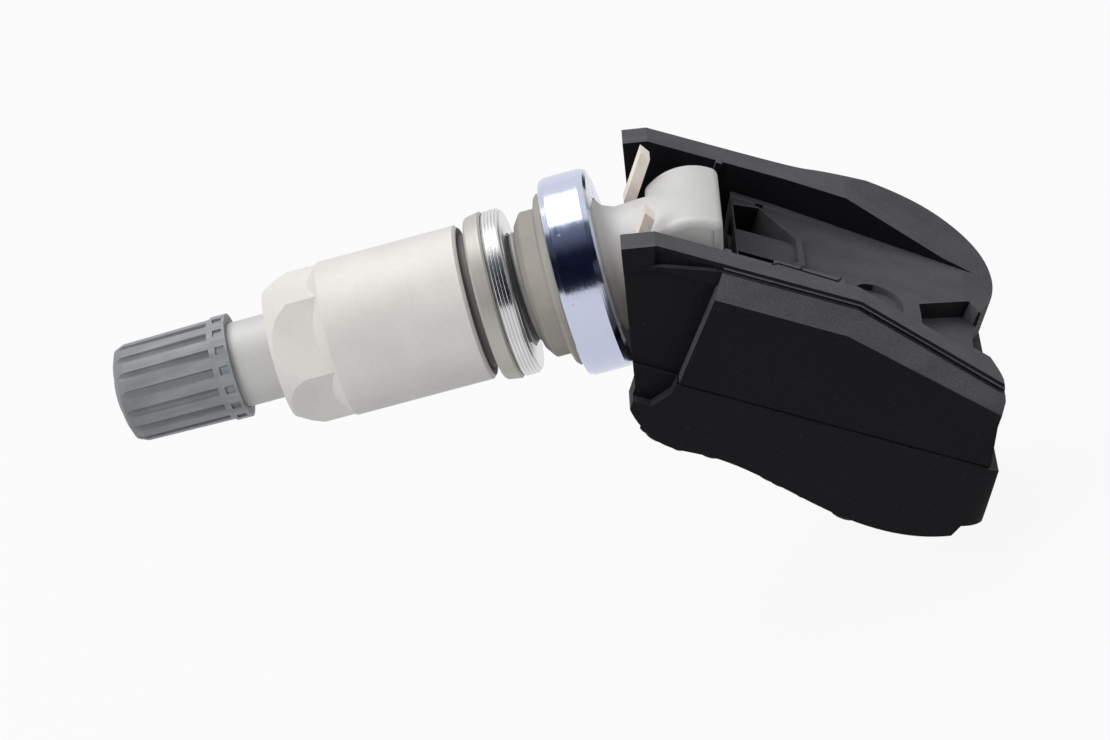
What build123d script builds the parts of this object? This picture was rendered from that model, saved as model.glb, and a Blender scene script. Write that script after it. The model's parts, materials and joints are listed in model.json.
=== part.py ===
from build123d import *
import math
import os

# Tyre pressure sensor with a clamp-in metal valve. Millimetres.
# The valve lies along X, from the dust cap at -X to the sensor housing at +X.
# The origin is the centre of the wheel rim's valve hole, at the face that the grommet seals on.
# +Z is the side of the housing that faces the tyre. The housing hangs on the foot of the valve
# and tilts about a line through the foot along Y.

# Clearances
running_gap = 0.08        # turning or sliding fit between turned parts
seat_gap = 0.3            # loose seat between moulded or rubber parts and metal
contact_gap = 0.05        # assembly gap between stacked rigid parts

# Valve stem
seat_to_foot = 14.4       # rim seat to the centre of the foot
stem_d = 10.2             # clamp thread over its crests
mouth_d = 7.7             # cap thread at the mouth
stem_step_inside = 2.0    # start of the clamp thread inside the hexagon
stem_flange_d = 12.2
stem_flange_w = 1.6
neck_waist_d = 9.9
neck_d = 10.3
core_bore_d = 5.3
core_bore_len = 15.5
core_bore_cone = 1.6
air_bore_d = 2.8

# Foot of the stem: a barrel about Y with a flat front and back
foot_r = 5.05
foot_len = 12.6
foot_flat = 3.4           # from the foot's centre to its flats
foot_rear_lean = 14.0     # the rear flat draws in towards the bottom
foot_edge = 0.85

# Pieces clamped round the rim hole, from the housing outwards
ring_d = 18.1
ring_w = 4.4
ring_edge = 0.7
grommet_over_washer = 0.6  # flange of the grommet over the washer's diameter
grommet_flange_w = 0.6
grommet_d = 13.3
grommet_body_w = 1.7
grommet_nose_d = 11.4
grommet_nose_w = 0.6
rim_gap = 1.5             # rim seat to the face of the clamping washer
washer_d = 15.1
washer_w = 1.7
collar_over_washer = 0.2   # captive collar over the washer's diameter
collar_taper = 0.4
nut_collar_w = 1.6
nut_spigot_d = 12.2

# Collar nut
collar_gap = 0.8          # dark groove between the sleeve and its captive collar
sleeve_d = 14.1
sleeve_len = 12.9
shoulder_len = 1.1
hex_flats = 12.0
hex_len = 4.2
hex_chamfer_d = 11.6
nut_travel = 3.2          # how far the nut backs off before it meets the cap

# Dust cap
bare_neck = 3.9           # plain stem between the hexagon and the cap
cap_len = 10.8
cap_d = 9.2
cap_tip_d = 8.9
cap_rim_d = 9.5
cap_rim_w = 1.35
cap_wall_end = 1.3
flute_count = 16
flute_r = 0.42
flute_depth = 0.3
rim_window_w = 0.75
rim_window_depth = 0.22
cap_boss_d = 4.2
cap_boss_h = 0.35
cap_seal_w = 0.9

# Valve core
core_thread_d = 5.1
core_head_len = 3.4
core_barrel_d = 4.0
core_neck_d = 2.4
core_barrel_len = 7.2
core_pin_d = 1.1
core_pin_stand = 0.5      # how far the pin's head stands inside the mouth's edge
core_cup_d = 3.4
core_cup_w = 1.4
core_ring_w = 1.3
core_wall_end = 0.9       # solid end of the barrel behind its sealing ring
core_lip_w = 0.5
core_funnel_d = 2.7
core_funnel_depth = 1.7
pin_head_d = 1.6
pin_head_w = 0.5
pin_collar_d = 2.3
pin_collar_w = 0.5
spring_wire = 0.35
spring_d = 2.9
spring_turns = 4

# Housing, in its own frame with the foot's centre as origin and its base level
rest_tilt = 33.0          # angle between the valve and the housing's base
top_z = 4.2
tip_x = -8.1
back_prong_step = 0.8     # the prong on the lobe's side is shorter by this
tip_z = 3.05
lead_in_x = -5.35
bend_x = 13.4
rear_slope = 15.4
rear_x = 27.8
rear_low_x = 29.0
rear_corner = 1.0
rear_low_z = -3.5         # lower edge of the band at the rear
rear_swell = 0.55         # the rear face swells out below the top
rear_swell_z = -1.2
seam_z = -7.35
end_lean = 22.6           # lean of the housing's open end from the vertical
band_half = 12.9
box_half = 13.8
wall_half = 12.0
inner_half = 9.9
band_lip = 0.45
band_thick = 2.1
bevel_top = 0.3
bevel_drop = 3.1
bevel_drop_rear = 2.2
groove_h = 0.35
groove_depth = 0.5
pad_h = 1.7
pad_proud = 0.15
wedge_h = 1.6
box_start = 0.35
box_draft = 0.6
back_half = 13.1          # outline of the back band at the prong
back_start_x = 3.0        # where that band starts to swell into the lobe
lobe_half = 15.0          # outline at the widest point of the lobe
lobe_x = 18.6
lobe_rear_x = 28.5
lobe_length = 15.6        # from the widest point back to the start of the lobe
lobe_fall = 8.6           # fall of the lobe's top face along the housing, in degrees
lobe_rise = 14.2          # rise of that face outwards, in degrees
lobe_start_x = 7.4        # where that face starts on the inner edge
lobe_inner_rear = 8.4     # inner edge of the back wall where it runs out
lobe_end_x = 24.8
notch_x = 26.0
notch_y = -4.2
notch_half = 3.8          # half the width of the notch's flat bottom
floor_front_z = 1.7
floor_rear_z = 0.9
floor_start_x = 3.0
floor_end_x = 25.6
ledge_x0 = 5.6            # ledge on the inner side of the front wall
ledge_x1 = 12.0
ledge_w = 0.9
front_wall_x = -0.7       # front of the cradle block between the prongs
cradle_gap = 0.35
neck_room = 0.5
tilt_down = 15.0          # how far the housing swings down from rest
tilt_up = 2.0             # how far it swings up before it meets the support ring
pocket_x = 5.8
pocket_end_x = 9.0
pocket_wide = 7.2
pocket_front = 5.6
pocket_narrow = 2.4
pocket_depth = 2.8
pocket_rim_w = 0.9
pocket_rim_h = 0.4
pocket_web = 2.4
tab_x = 1.1
tab_len = 0.6
tab_proud = 0.5
gusset_x = 2.4            # low rib from the wall to the pocket's corner
gusset_w = 0.7
rear_step_x = 20.4
rear_step_y = -2.5
rear_step_w = 6.0
rear_step_depth = 0.5
roof_z = -4.4
shell_wall = 1.5
cavity_x0 = 8.9

# Base of the housing
base_half = 13.9
base_low_half = 13.1
base_rear_x = 30.3
base_rear_draft = 0.45
base_front_low_x = -2.9
base_front_low_z = -11.1
base_edge_z = -13.2       # lower rear edge
base_skirt = 0.25
base_recess_z = -10.2     # how far the panel at the open end reaches down
base_corner = 2.4
base_notch = 1.5          # depth of the notch in the rear edge
base_notch_half = 7.4
base_low_z = -15.0        # lowest corner of the underside at the rear

# Retaining fork
fork_t = 1.0
fork_x = -5.75
fork_leg_w = 1.9
fork_tip_z = 4.9
fork_tip_cut = 0.9        # height of the slanted cut on the legs' tips
fork_neck_gap = 0.5
fork_low_z = -0.4

# Inside the housing
board_t = 1.0
board_gap = 0.3
board_x0 = 2.4
board_x1 = 26.6
board_half = 11.4
board_z = -11.2           # underside of the board
cell_d = 16.0
cell_h = 3.2
cell_x = 17.6
cell_y = 2.6
cell_lift = 1.3
cell_edge = 0.35
cell_step_h = 0.5         # narrower foot of the cell
cell_step_w = 1.0
tab_t = 0.2
tab_w = 4.0
tab_stand = 0.6           # upright of each tab from the cell's edge
tab_reach = 4.0
chip_x = 16.6
chip_y = -8.0
chip_side = 4.8
chip_h = 1.5
port_d = 1.5
port_seal_d = 3.6
dimple_r = 2.2
dimple_len = 4.4
dimple_depth = 0.55
coil_x = 5.4
coil_len = 7.5
coil_core = 1.5
coil_winding = 2.1
crystal_size = (3.2, 2.5, 0.8)
aerial_h = 3.2
aerial_t = 0.5
aerial_edge = 0.9        # from the board's edge
aerial_side = 4.5
smd_pitch = 1.9
smd_w = 0.9
smd_h = 0.5
smd_edge = 0.8

# Rear flat of the foot: its top edge on the barrel, and how far it draws in
foot_top_edge = math.sqrt(foot_r ** 2 - foot_flat ** 2)
foot_low_x = foot_flat - 2 * foot_r * math.tan(math.radians(foot_rear_lean))

# Diameters that follow the clamping washer
grommet_flange_d = washer_d + grommet_over_washer
nut_collar_d = washer_d + collar_over_washer
nut_collar_small_d = nut_collar_d - collar_taper

# Stations along the valve axis
washer_face = -rim_gap
washer_back = washer_face - washer_w
collar_face = washer_back - contact_gap
collar_back = collar_face - nut_collar_w
sleeve_face = collar_back - collar_gap
shoulder_x = sleeve_face - sleeve_len
hex_face = shoulder_x - shoulder_len
hex_back = hex_face - hex_len
cap_face = hex_back - bare_neck
cap_tip = cap_face - cap_len
mouth_x = cap_tip + cap_wall_end + cap_seal_w + 2 * contact_gap
grommet_back = grommet_body_w
ring_face = grommet_back + grommet_flange_w + contact_gap
ring_back = ring_face + ring_w
flange_x = ring_back - stem_flange_w


def turned(corners):
    """Solid turned about the valve axis from (x, radius) corners."""
    outline = [(x, 0, r) for x, r in corners]
    return revolve(make_face(Polyline(*outline, close=True)), Axis.X)


def side_prism(corners, y0, y1):
    """Prism across the housing: (x, z) corners carried from y0 to y1."""
    face = make_face(Polyline(*[(x, y0, z) for x, z in corners], close=True))
    return extrude(face, amount=y1 - y0, dir=(0, 1, 0))


def block(x0, x1, y0, y1, z0, z1):
    """Box between two corners."""
    size = Box(x1 - x0, y1 - y0, z1 - z0)
    return Pos((x0 + x1) / 2, (y0 + y1) / 2, (z0 + z1) / 2) * size


def both_sides(solid):
    """The solid and its mirror image across the valve's middle plane."""
    return solid + mirror(solid, Plane.XZ)


def tilted(solid):
    """Carries a housing piece from the housing's frame to its rest position."""
    return Pos(seat_to_foot, 0, 0) * Rot(0, rest_tilt, 0) * solid


def write(name, solid):
    export_step(solid, "parts/" + name + ".step")


# Valve stem and foot

def make_stem():
    mouth_r = mouth_d / 2
    stem_r = stem_d / 2
    step_x = hex_back + stem_step_inside
    foot_x = seat_to_foot
    body = turned([
        (mouth_x, 0), (mouth_x, mouth_r - 0.5), (mouth_x + 0.5, mouth_r), (step_x, mouth_r),
        (step_x + 0.6, stem_r), (flange_x, stem_r), (flange_x, stem_flange_d / 2),
        (ring_back, stem_flange_d / 2), (ring_back + 0.5, neck_d / 2 + 0.25),
        (ring_back + 1.6, neck_waist_d / 2), (foot_x - foot_flat - 0.6, neck_waist_d / 2 + 0.12),
        (foot_x, neck_waist_d / 2 + 0.12), (foot_x, 0)])
    barrel = Rot(90, 0, 0) * Cylinder(foot_r, foot_len)
    keep = side_prism(
        [(-foot_flat, foot_r + 1), (foot_flat, foot_r + 1), (foot_flat, foot_top_edge),
         (foot_low_x, foot_top_edge - 2 * foot_r), (-foot_flat, foot_top_edge - 2 * foot_r)], -foot_len, foot_len)
    barrel = fillet((barrel & keep).edges(), foot_edge)
    body = body + Pos(foot_x, 0, 0) * barrel
    core_end = mouth_x + core_bore_len
    bore = turned([
        (mouth_x - 1, 0), (mouth_x - 1, core_bore_d / 2), (core_end - core_bore_cone, core_bore_d / 2),
        (core_end, air_bore_d / 2), (foot_x + foot_flat + 1, air_bore_d / 2),
        (foot_x + foot_flat + 1, 0)])
    return body - bore


# Collar nut with its captive collar and the washer

def make_collar_nut():
    bore_r = stem_d / 2 + running_gap
    small_bore_r = mouth_d / 2 + running_gap
    step_x = hex_back + stem_step_inside - 0.5
    corner_r = hex_flats / math.sqrt(3)
    envelope = turned([
        (hex_back, 0), (hex_back, hex_chamfer_d / 2), (hex_back + 1.2, corner_r - 0.45),
        (hex_back + 2.4, corner_r + 0.02), (hex_face, sleeve_d / 2 + 0.02),
        (sleeve_face, sleeve_d / 2 + 0.02), (sleeve_face, 0)])
    prism = Rot(0, 90, 0) * extrude(Rot(0, 0, 30) * RegularPolygon(corner_r, 6), amount=hex_len + shoulder_len + 1)
    prism = Pos(hex_back, 0, 0) * prism
    run_out = turned([
        (hex_face, 0), (hex_face, hex_flats / 2 - 0.02), (shoulder_x, sleeve_d / 2),
        (sleeve_face - 0.3, sleeve_d / 2), (sleeve_face, sleeve_d / 2 - 0.3), (sleeve_face, 0)])
    spigot = turned([
        (sleeve_face - 1, 0), (sleeve_face - 1, nut_spigot_d / 2),
        (collar_face - seat_gap, nut_spigot_d / 2), (collar_face - seat_gap, 0)])
    nut = (envelope & prism) + run_out + spigot
    bore = turned([
        (hex_back - 1, 0), (hex_back - 1, small_bore_r), (step_x, small_bore_r),
        (step_x, bore_r), (0, bore_r), (0, 0)])
    return nut - bore


def make_nut_collar():
    hole_r = nut_spigot_d / 2 + running_gap
    return turned([
        (collar_back, hole_r), (collar_back, nut_collar_small_d / 2 - 0.2),
        (collar_back + 0.2, nut_collar_small_d / 2), (collar_face - 0.2, nut_collar_d / 2),
        (collar_face, nut_collar_d / 2 - 0.2), (collar_face, hole_r)])


def make_washer():
    hole_r = stem_d / 2 + running_gap
    return turned([
        (washer_back, hole_r), (washer_back, washer_d / 2 - 0.15),
        (washer_back + 0.15, washer_d / 2), (washer_face - 0.35, washer_d / 2),
        (washer_face, washer_d / 2 - 0.35), (washer_face, hole_r)])


def make_grommet():
    hole_r = stem_d / 2 + contact_gap
    body_r = grommet_d / 2
    return turned([
        (-grommet_nose_w, hole_r), (-grommet_nose_w, grommet_nose_d / 2), (0, body_r - 0.1),
        (0.15, body_r), (grommet_back - 0.3, body_r), (grommet_back, grommet_flange_d / 2 - 0.25),
        (grommet_back + 0.25, grommet_flange_d / 2), (grommet_back + grommet_flange_w, grommet_flange_d / 2),
        (grommet_back + grommet_flange_w, hole_r)])


def make_support_ring():
    hole_r = stem_d / 2 + running_gap
    pocket_r = stem_flange_d / 2 + running_gap
    pocket_x = flange_x - contact_gap
    radius = ring_d / 2
    near = ring_edge / 4
    return turned([
        (ring_face, hole_r), (ring_face, radius - ring_edge), (ring_face + near, radius - near),
        (ring_face + ring_edge, radius), (ring_back - ring_edge, radius), (ring_back - near, radius - near),
        (ring_back, radius - ring_edge), (ring_back, pocket_r), (pocket_x, pocket_r), (pocket_x, hole_r)])


# Dust cap

def make_dust_cap():
    inner_r = mouth_d / 2 + running_gap
    cap = turned([
        (cap_tip, 0), (cap_tip, cap_tip_d / 2 - 1.2), (cap_tip + 0.35, cap_tip_d / 2 - 0.35),
        (cap_tip + 1.2, cap_tip_d / 2), (cap_face - cap_rim_w, cap_d / 2),
        (cap_face - cap_rim_w, cap_rim_d / 2), (cap_face, cap_rim_d / 2), (cap_face, inner_r),
        (cap_tip + cap_wall_end, inner_r), (cap_tip + cap_wall_end, 0)])
    boss = turned([
        (cap_tip - cap_boss_h, 0), (cap_tip - cap_boss_h, cap_boss_d / 2 - 0.3),
        (cap_tip, cap_boss_d / 2), (cap_tip + 0.3, cap_boss_d / 2), (cap_tip + 0.3, 0)])
    cap = cap + boss
    flute_len = cap_len - cap_rim_w - 0.35
    flute = Rot(0, 90, 0) * extrude(RegularPolygon(flute_r, 8), amount=flute_len)
    flute = Pos(cap_tip - 0.01, 0, cap_tip_d / 2 + flute_r - flute_depth) * flute
    window = block(cap_face - cap_rim_w + 0.25, cap_face - 0.25, -rim_window_w / 2, rim_window_w / 2,
                   cap_rim_d / 2 - rim_window_depth, cap_rim_d / 2 + 1)
    cuts = [Rot(360 / flute_count * i, 0, 0) * cut for i in range(flute_count) for cut in (flute, window)]
    return cap - cuts


def make_cap_seal():
    back = cap_tip + cap_wall_end + contact_gap
    return turned([
        (back, 0.9), (back, mouth_d / 2 - contact_gap),
        (back + cap_seal_w, mouth_d / 2 - contact_gap), (back + cap_seal_w, 0.9)])


# Valve core inside the mouth

core_head_x = mouth_x + 0.7
core_head_end = core_head_x + core_head_len
core_ring_x = core_head_end + contact_gap
core_barrel_x = core_ring_x + core_ring_w + contact_gap
core_barrel_end = core_barrel_x + core_barrel_len - core_ring_w
core_hollow_x = core_barrel_x + core_wall_end
core_lip_x = core_barrel_end - core_lip_w
pin_hole_r = core_pin_d / 2 + running_gap


def make_core_body():
    barrel_r = core_barrel_d / 2
    hollow_r = spring_d / 2 + running_gap
    head = turned([
        (core_head_x, core_funnel_d / 2), (core_head_x, core_thread_d / 2 - 0.3),
        (core_head_x + 0.3, core_thread_d / 2), (core_head_end, core_thread_d / 2),
        (core_head_end, core_neck_d / 2), (core_barrel_x, core_neck_d / 2), (core_barrel_x, barrel_r),
        (core_barrel_end, barrel_r - 0.4), (core_barrel_end, hollow_r - 0.4),
        (core_lip_x, hollow_r - 0.4), (core_lip_x, hollow_r), (core_hollow_x, hollow_r),
        (core_hollow_x, pin_hole_r), (core_head_x + core_funnel_depth, pin_hole_r),
        (core_head_x + core_funnel_depth, pin_head_d / 2 + running_gap)])
    slot = block(core_head_x - 1, core_head_x + 1.2, -0.5, 0.5, -core_thread_d, core_thread_d)
    return head - slot


def make_core_ring():
    hole_r = core_neck_d / 2 + contact_gap
    return turned([
        (core_ring_x, hole_r), (core_ring_x, core_bore_d / 2 - contact_gap),
        (core_ring_x + core_ring_w, core_barrel_d / 2 + 0.2), (core_ring_x + core_ring_w, hole_r)])


pin_collar_x = core_hollow_x + contact_gap
spring_x0 = pin_collar_x + pin_collar_w
spring_x1 = core_lip_x
cup_x = core_barrel_end + contact_gap
cup_end = cup_x + core_cup_w


def make_core_pin():
    pin_r = core_pin_d / 2
    head_x = mouth_x + core_pin_stand
    plate_r = core_cup_d / 2 - 0.4
    return turned([
        (head_x, 0), (head_x, pin_head_d / 2), (head_x + pin_head_w, pin_head_d / 2),
        (head_x + pin_head_w, pin_r), (pin_collar_x, pin_r), (pin_collar_x, pin_collar_d / 2),
        (pin_collar_x + pin_collar_w, pin_collar_d / 2), (pin_collar_x + pin_collar_w, pin_r),
        (cup_end, pin_r), (cup_end, plate_r), (cup_end + 0.5, plate_r), (cup_end + 0.5, 0)])


def make_core_cup():
    hole_r = core_pin_d / 2 + 0.02
    return turned([
        (cup_x, hole_r), (cup_x, core_cup_d / 2 - 0.2), (cup_x + 0.4, core_cup_d / 2),
        (cup_x + core_cup_w, core_cup_d / 2 - 0.1), (cup_x + core_cup_w, hole_r)])


def make_core_spring():
    length = spring_x1 - spring_x0 - 2 * spring_wire
    path = Helix(length / spring_turns, length, (spring_d - spring_wire) / 2)
    start = Plane(path @ 0, z_dir=path % 0)
    coil = sweep(start * RegularPolygon(spring_wire / 2, 4), path=path)
    return Pos(spring_x0 + spring_wire, 0, 0) * Rot(0, 90, 0) * coil


# Housing, in its own frame

slope = math.tan(math.radians(rear_slope))
lean = math.tan(math.radians(end_lean))
far = 60                  # reach of cutting solids past the housing


def front_x(z):
    """Housing's leaning open end at the height z."""
    return tip_x + (tip_z - z) * lean


def top_line(x):
    """Height of the housing's top at x, behind the lead-in."""
    return top_z - max(0, x - bend_x) * slope


def floor_z(x):
    """Height of the saddle floor at x."""
    share = (x - floor_start_x) / (floor_end_x - floor_start_x)
    return floor_front_z + (floor_rear_z - floor_front_z) * share


def shell_side():
    """Side view of the upper moulding."""
    return [
        (tip_x, tip_z), (lead_in_x, top_z), (bend_x, top_z), (rear_x, top_line(rear_x)),
        (rear_x + rear_swell, rear_swell_z), (rear_x + rear_swell, rear_low_z), (rear_low_x, seam_z),
        (front_x(seam_z), seam_z)]


def top_outline():
    """Top view of the upper moulding: straight on one side, a notch behind, a lobe on the other side."""
    x0 = tip_x - 2
    front = Line((x0, -band_half), (rear_x - rear_corner, -band_half))
    turn = TangentArc(front @ 1, (rear_x, -band_half + rear_corner), tangent=(1, 0))
    edge = Spline(
        turn @ 1, (notch_x + 0.6, notch_y - notch_half), (notch_x, notch_y),
        (notch_x + 1.0, notch_y + 1.5 * notch_half), (lobe_rear_x, lobe_inner_rear - 0.7),
        (lobe_rear_x - 1.2, lobe_half - 3.7), (lobe_rear_x - 4.3, lobe_half - 1.2), (lobe_x, lobe_half),
        (lobe_x - lobe_length / 2, lobe_half - 1.0), (back_start_x, back_half + 0.1),
        tangents=[(-0.1, 1), (-1, -0.02)])
    back = Line(edge @ 1, (x0, back_half - 0.1))
    close = Line(back @ 1, (x0, -band_half))
    return make_face([front, turn, edge, back, close])


def along_top(section, sign, rear_section=None):
    """Carries a (y, z) section along the flat and the sloping stretch of the top."""
    face = make_face(Polyline(*[(0, sign * y, z) for y, z in section], close=True))
    flat = Pos(bend_x - far, 0, 0) * extrude(face, amount=far, dir=(1, 0, 0))
    run = rear_x - bend_x + 6
    start = make_face(Polyline(*[(0, sign * y, z - top_z) for y, z in section], close=True))
    end = make_face(Polyline(*[(run, sign * y, z - top_z) for y, z in rear_section or section], close=True))
    tail = Pos(bend_x, 0, top_z) * Rot(0, rear_slope, 0) * loft([start, end])
    return flat + tail


def inner_wall(side):
    """Inner faces of the two saddle walls as the plan of the space between them, at one or the other side."""
    if side == "front":
        return [(-far, 0), (-far, -inner_half), (ledge_x0, -inner_half), (ledge_x0, ledge_w - inner_half),
                (ledge_x1, ledge_w - inner_half), (ledge_x1, -inner_half), (far, -inner_half), (far, 0)]
    drift = (inner_half - lobe_inner_rear) / (lobe_end_x - lobe_start_x)
    return [(far, 0), (far, inner_half - drift * (far - lobe_start_x)), (lobe_start_x, inner_half),
            (-far, inner_half), (-far, 0)]


def saddle_space():
    """Everything above the saddle floor between the two walls."""
    below = side_prism(
        [(-far, far), (-far, floor_front_z), (floor_start_x, floor_front_z), (far, floor_z(far)), (far, far)],
        -inner_half, inner_half)
    plan = make_face(Polyline(*[(x, y, 0) for x, y in inner_wall("front")], close=True))
    plan = plan + make_face(Polyline(*[(x, y, 0) for x, y in inner_wall("back")], close=True))
    return below & (Pos(0, 0, -far) * extrude(plan, amount=2 * far, dir=(0, 0, 1)))


def top_cut():
    """What is taken off above the sloping rear: the main slope, or the lobe's face where that is higher."""
    main = Plane(origin=(bend_x, 0, top_z), z_dir=(slope, 0, 1))
    fall = math.tan(math.radians(lobe_fall))
    rise = math.tan(math.radians(lobe_rise))
    lobe = Plane(origin=(lobe_start_x, inner_half, top_z), z_dir=(fall, -rise, 1))
    over = Box(3 * far, 3 * far, far, align=(Align.CENTER, Align.CENTER, Align.MIN))
    return (main * over) & (lobe * over)


def make_housing_body():
    side = shell_side()
    outline = extrude(top_outline(), amount=2 * far, dir=(0, 0, 1))
    outline = Pos(0, 0, -far) * outline

    # Band and lobe that form the rim of the saddle
    rim_side = [(tip_x, tip_z), (lead_in_x, top_z), (rear_x + 4, top_z), (rear_x + 4, rear_low_z),
                (rear_x, rear_low_z), (bend_x, top_z - band_thick), (lead_in_x + 1, top_z - band_thick),
                (front_x(tip_z - band_thick), tip_z - band_thick)]
    rim = side_prism(rim_side, -far, far) & outline
    over = top_cut()

    # Box under the band on both sides, with its bevel and the groove at its top
    core = side_prism(side, -box_half, box_half)
    bevel = bevel_section(bevel_drop)
    bevel_rear = bevel_section(bevel_drop_rear)
    for sign in (-1, 1):
        core = core - along_top(bevel, sign, bevel_rear)
    core = core - both_sides(side_prism(
        [(-far, far), (box_start + box_draft, far), (box_start + box_draft, 1), (box_start, seam_z - 1),
         (-far, seam_z - 1)], wall_half, box_half + 3))
    lip_z = top_z - band_lip
    groove = [(band_half - groove_depth, lip_z), (box_half + 3, lip_z), (box_half + 3, lip_z - groove_h),
              (band_half - groove_depth, lip_z - groove_h)]
    notch = block(lobe_x, far, -wall_half, lobe_inner_rear, rear_low_z, far) - outline
    shell = (core - notch + rim) - over - along_top(groove, -1)

    # Thicker pad at the tip of each prong, and the wedge recess behind it
    wedge = side_prism(
        [(lead_in_x, top_z - band_lip), (box_start, top_z - band_lip), (box_start, top_z - band_lip - 0.4),
         (lead_in_x, top_z - band_lip - wedge_h)], wall_half + 0.2, box_half + 3)
    pad = side_prism(
        [(tip_x, tip_z), (lead_in_x, top_z), (lead_in_x + 0.4, top_z - pad_h), (front_x(tip_z - pad_h), tip_z - pad_h)],
        inner_half, band_half + pad_proud)
    shell = shell - both_sides(wedge) + both_sides(pad)
    shell = shell - side_prism([(-far, far), (front_x(far) + back_prong_step, far),
                                (front_x(-far) + back_prong_step, -far), (-far, -far)], 0, far)
    return shell - cradle_space() - fork_solid(seat_gap) - inside_space() + saddle_ribs() - rear_step()


def bevel_section(drop):
    """Section of what the bevel takes off the box, beside the band."""
    return [(band_half, top_z - bevel_top), (box_half, top_z - drop), (box_half + 5, top_z - drop),
            (box_half + 5, top_z + 9), (band_half, top_z + 9)]


def cradle_space():
    """Saddle floor, seat of the foot, room for the neck, and the open front."""
    reach = 2 * inner_half
    radius = foot_r + cradle_gap
    gap = 2 * cradle_gap
    corner = math.atan2(foot_top_edge, foot_flat) + math.radians(rest_tilt - tilt_down)
    low = math.atan2(foot_top_edge - 2 * foot_r, foot_low_x) + math.radians(rest_tilt + tilt_up)
    rear_top = (foot_r * math.cos(corner) + gap, foot_r * math.sin(corner))
    rear_low = (foot_r * math.cos(low) + gap, foot_r * math.sin(low))
    seat = Rot(90, 0, 0) * Cylinder(radius, reach)
    seat = seat & side_prism(
        [(-far, far), (rear_top[0], far), rear_top, rear_low, (rear_low[0], -far), (-far, -far)], -reach, reach)
    above = side_prism(
        [(-radius, 0), (-radius, far), (rear_top[0], far), rear_top, (rear_low[0] - gap, 0)],
        -inner_half, inner_half)
    room = block(-far, 0, -inner_half, inner_half, -(neck_d / 2 + neck_room), far)
    room = Rot(0, -(rest_tilt + tilt_up), 0) * room
    front = block(-far, front_wall_x, -inner_half, inner_half, -far, far)
    return saddle_space() + seat + above + room + front + pocket_hole()


def inside_space():
    """Cavity above the board, the pressure port and the dimple that it opens in."""
    cavity = block(cavity_x0, rear_x - shell_wall - 0.4, -(box_half - shell_wall), box_half - shell_wall,
                   seam_z - 1, roof_z)
    cavity = fillet(cavity.edges().filter_by(Axis.Z), 2.0)
    port = Pos(chip_x, chip_y, 0) * Cylinder(port_d / 2, far)
    plan = SlotCenterToCenter(dimple_len, 2 * dimple_r, rotation=90)
    dimple = Pos(chip_x, chip_y + dimple_len / 2, floor_z(chip_x) - dimple_depth) * extrude(plan, amount=far)
    dimple = dimple & block(chip_x - 9, chip_x + 9, -inner_half + 0.1, inner_half, -far, far)
    return cavity + port + dimple


def saddle_ribs():
    """Rim of the pocket, and the tabs and gussets on the inner walls."""
    root = 0.1
    tab = block(tab_x, tab_x + tab_len, inner_half - tab_proud, inner_half + root, floor_front_z - 0.5, top_z)
    plan = [(gusset_x, inner_half + root), (gusset_x + gusset_w, inner_half + root),
            (pocket_x + gusset_w / 2, pocket_wide + pocket_rim_w / 2),
            (pocket_x - gusset_w / 2, pocket_wide + pocket_rim_w / 2)]
    gusset = Pos(0, 0, floor_front_z - 0.5) * extrude(
        make_face(Polyline(*[(x, y, 0) for x, y in plan], close=True)), amount=0.5 + pocket_rim_h, dir=(0, 0, 1))
    seat = Rot(90, 0, 0) * Cylinder(foot_r + 2 * cradle_gap, 2 * inner_half)
    return both_sides(tab) + both_sides(gusset - seat) + pocket_rim()


def rear_step():
    """Recess in the rear of the saddle floor, open to the rear."""
    y0 = rear_step_y - rear_step_w
    plan = [(rear_step_x, y0), (rear_step_x, rear_step_y), (floor_end_x, rear_step_y + 4.2),
            (floor_end_x + 0.8, rear_step_y + 3), (far, rear_step_y + 3), (far, y0)]
    face = make_face(Polyline(*[(x, y, 0) for x, y in plan], close=True))
    low = floor_z(rear_step_x) - rear_step_depth
    return Pos(0, 0, low) * Rot(0, 3, 0) * extrude(face, amount=far, dir=(0, 0, 1))


def pocket_corners(grow):
    """Plan of the pocket behind the foot: narrow at the foot, wide in the middle, narrow behind."""
    wide = pocket_wide + grow
    narrow = pocket_narrow + grow / 2
    front = pocket_front + grow
    end = pocket_end_x + grow
    return [(0, -front), (pocket_x, -wide), (end, -narrow), (end, narrow), (pocket_x, wide), (0, front)]


def pocket_rim():
    outer = make_face(Polyline(*pocket_corners(pocket_rim_w), close=True))
    rim = Pos(0, 0, floor_z(pocket_end_x) - 0.5) * extrude(outer, amount=0.5 + pocket_rim_h, dir=(0, 0, 1))
    rim = chamfer(rim.faces().sort_by(Axis.Z)[-1].edges(), pocket_rim_h - 0.05)
    keep = block(foot_flat, far, -inner_half, inner_half, -far, far)
    return (rim & keep) - pocket_hole()


def pocket_hole():
    hole = make_face(Polyline(*pocket_corners(0), close=True))
    low = floor_front_z - pocket_depth
    hole = Pos(0, 0, low) * extrude(hole, amount=far, dir=(0, 0, 1))
    web = block(foot_flat, far, -pocket_web, pocket_web, low - 1, floor_front_z - 0.3)
    front = block(-far, foot_flat, -far, far, -far, far)
    return hole - web - front


def base_side_face():
    """Side view of the base, with its wavy cast underside."""
    low = Spline(
        (base_front_low_x, 0, base_front_low_z), (-1.1, 0, -12.7), (0.9, 0, -13.6), (4.6, 0, -13.6),
        (11.0, 0, -14.4), (19.0, 0, base_low_z - 1.1), (24.8, 0, base_low_z - 1.0), (28.0, 0, base_low_z))
    corners = [
        low @ 1, (28.5, 0, base_edge_z - 0.6), (base_rear_x, 0, base_edge_z),
        (base_rear_x - base_rear_draft, 0, seam_z), (front_x(seam_z), 0, seam_z), (front_x(-9.4), 0, -9.4), low @ 0]
    return make_face([low, Polyline(*corners)])


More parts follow.
